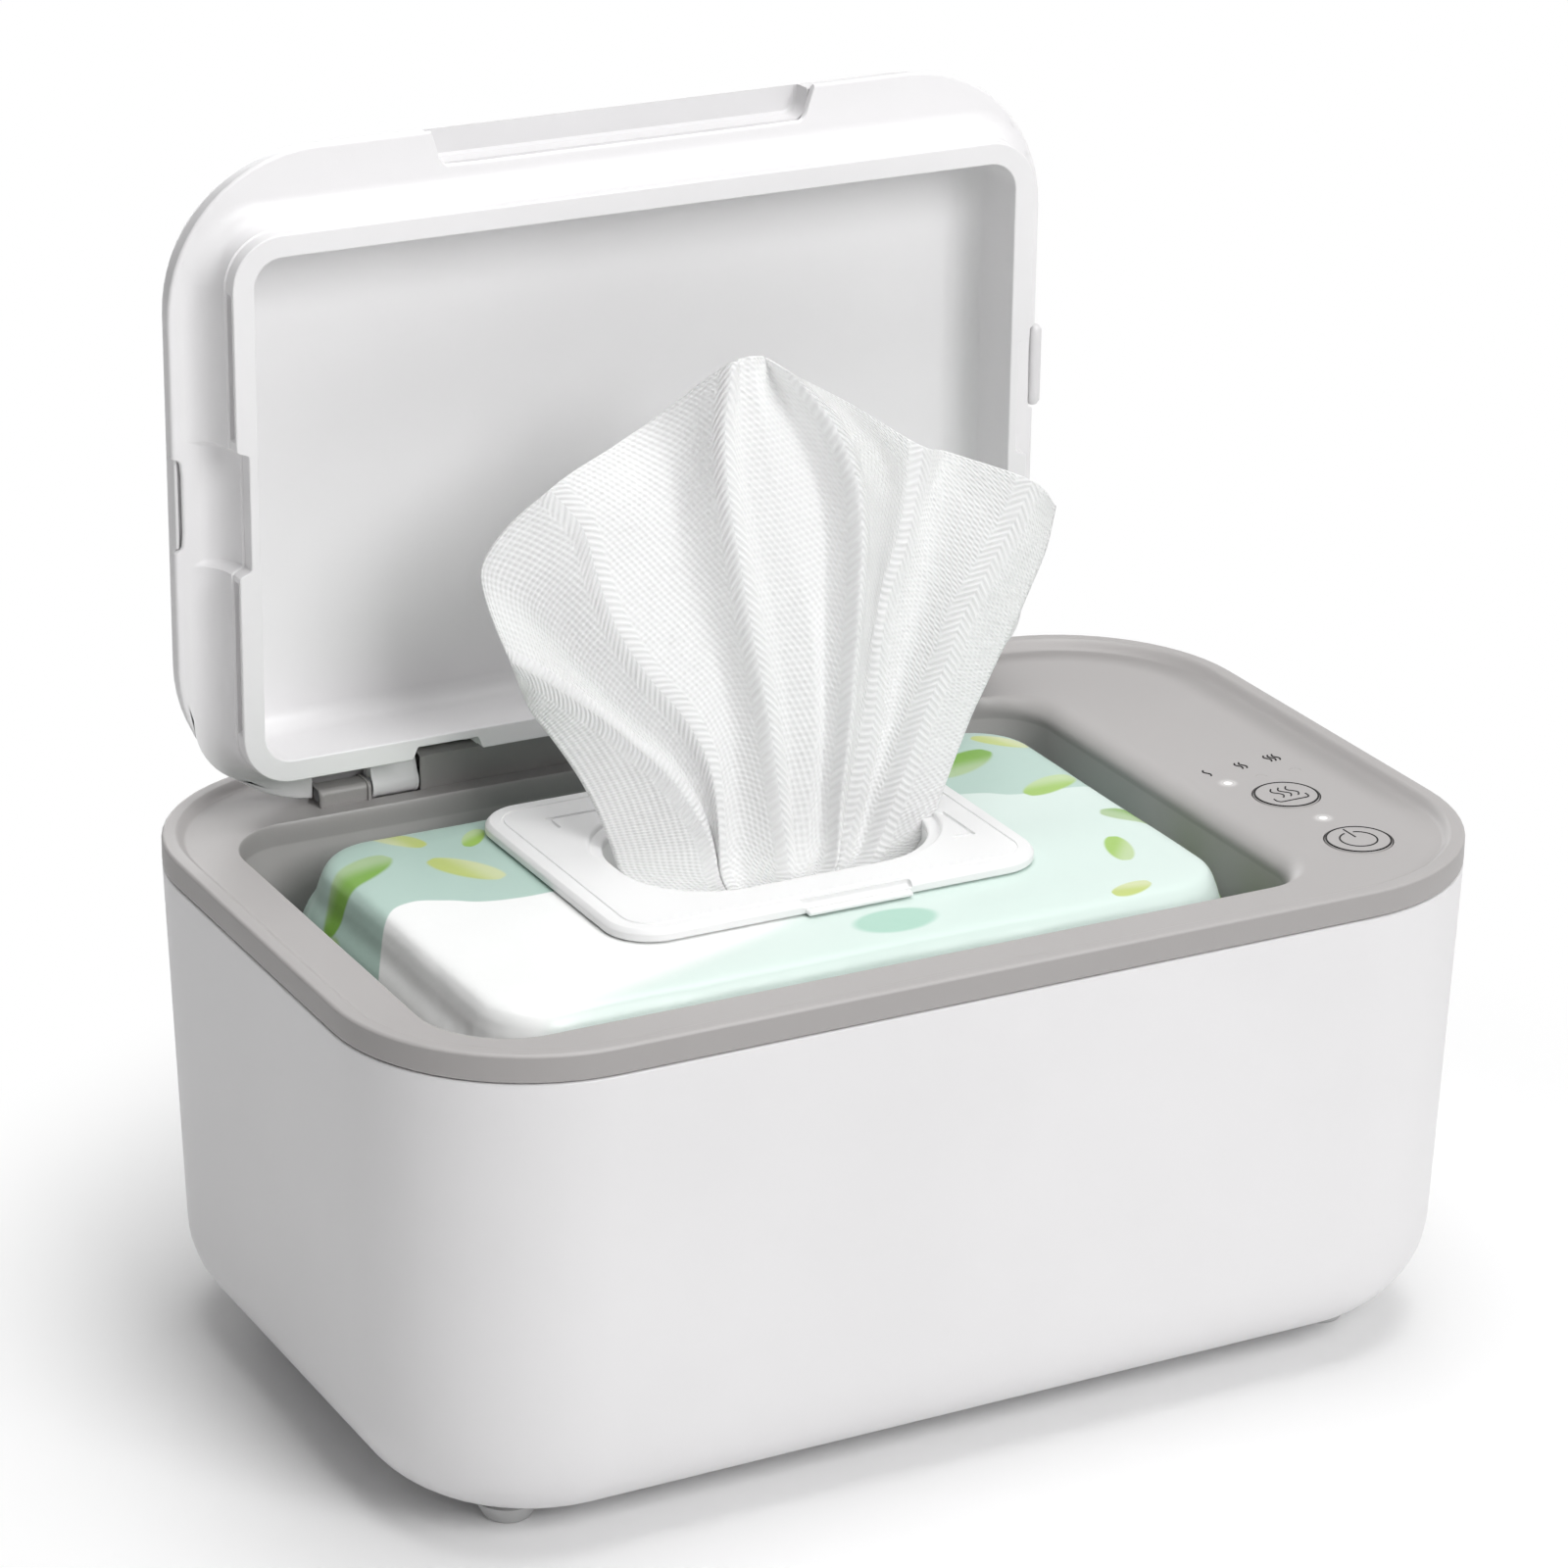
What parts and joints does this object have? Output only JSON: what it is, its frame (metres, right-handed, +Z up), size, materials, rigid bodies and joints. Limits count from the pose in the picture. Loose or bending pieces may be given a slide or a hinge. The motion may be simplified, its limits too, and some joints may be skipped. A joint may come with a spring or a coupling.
{
  "type": "baby wipe warmer",
  "caption": "Rounded box with a heated well for a pack of wet wipes, a hinged lid with a plug ring, a grey deck, and a heat key and power key beside the well.",
  "frame": {"origin": "on the ground below the middle of the body", "axes": "+X towards the control panel, +Y towards the hinge at the back, +Z up"},
  "size_m": [0.245, 0.1574, 0.2438],
  "materials": {
    "white_plastic": "white moulded ABS, satin to semi-gloss",
    "grey_plastic": "light warm grey moulded ABS, fine satin texture",
    "key_plastic": "same grey as the deck, dark printed ring and symbol",
    "light_pipe": "clear acrylic light pipe, white light",
    "clear_plastic": "clear moulded LED",
    "foot_rubber": "light grey rubber, matt",
    "pack_film": "printed soft film, white, pale mint and green, slight gloss",
    "wipe_cloth": "embossed white nonwoven cloth",
    "foam": "grey closed-cell foam",
    "orange_film": "amber polyimide heating film",
    "green_board": "green solder-masked circuit board",
    "dark_plastic": "black moulded plastic",
    "lead_jacket": "red PVC lead insulation",
    "aluminium": "plain rolled aluminium sheet",
    "steel": "zinc-plated steel",
    "brass": "plated brass"
  },
  "bodies": {
    "base": {"outer_housing": "white_plastic", "base_cover": "white_plastic", "base_screw_1": "steel", "base_screw_2": "steel", "base_screw_3": "steel", "base_screw_4": "steel", "foot_front_left": "foot_rubber", "foot_front_right": "foot_rubber", "foot_rear_left": "foot_rubber", "foot_rear_right": "foot_rubber", "top_deck": "grey_plastic", "heat_spreader": "aluminium", "heating_film": "orange_film", "insulation_pad": "foam", "thermal_sensor": "dark_plastic", "thermal_fuse": "steel", "control_board": "green_board", "board_screw_1": "steel", "board_screw_2": "steel", "board_screw_3": "steel", "board_screw_4": "steel", "board_socket_1": "white_plastic", "board_socket_2": "white_plastic", "control_chip": "dark_plastic", "led_level_1": "clear_plastic", "led_level_2": "clear_plastic", "led_level_3": "clear_plastic", "led_power": "clear_plastic", "light_pipe_level_1": "light_pipe", "light_pipe_level_2": "light_pipe", "light_pipe_level_3": "light_pipe", "light_pipe_power": "light_pipe", "heat_key_dome": "foot_rubber", "power_key_dome": "foot_rubber", "power_jack": "dark_plastic", "jack_nut": "brass", "jack_lead": "lead_jacket", "heater_lead": "lead_jacket", "hinge_pin_left": "steel", "hinge_pin_right": "steel", "wipe_pack": "pack_film", "pack_frame": "white_plastic", "wipe": "wipe_cloth"},
    "lid": {"lid_liner": "white_plastic", "lid_cover": "white_plastic"},
    "heat_key": {"heat_button": "key_plastic"},
    "power_key": {"power_button": "key_plastic"}
  },
  "joints": [
    {"name": "lid_hinge", "type": "hinge", "parent": "base", "child": "lid", "pos_m": [-0.014, 0.0583, 0.1085], "axis": [1, 0, 0], "range_deg": [0, 90], "deforming": ["wipe"]},
    {"name": "heat_key_press", "type": "slide", "parent": "base", "child": "heat_key", "axis": [0, 0, -1], "range_m": [0, 0.0008], "stiffness_N_per_m": 400, "deforming": ["heat_key_dome"]},
    {"name": "power_key_press", "type": "slide", "parent": "base", "child": "power_key", "axis": [0, 0, -1], "range_m": [0, 0.0008], "stiffness_N_per_m": 400, "deforming": ["power_key_dome"]}
  ]
}
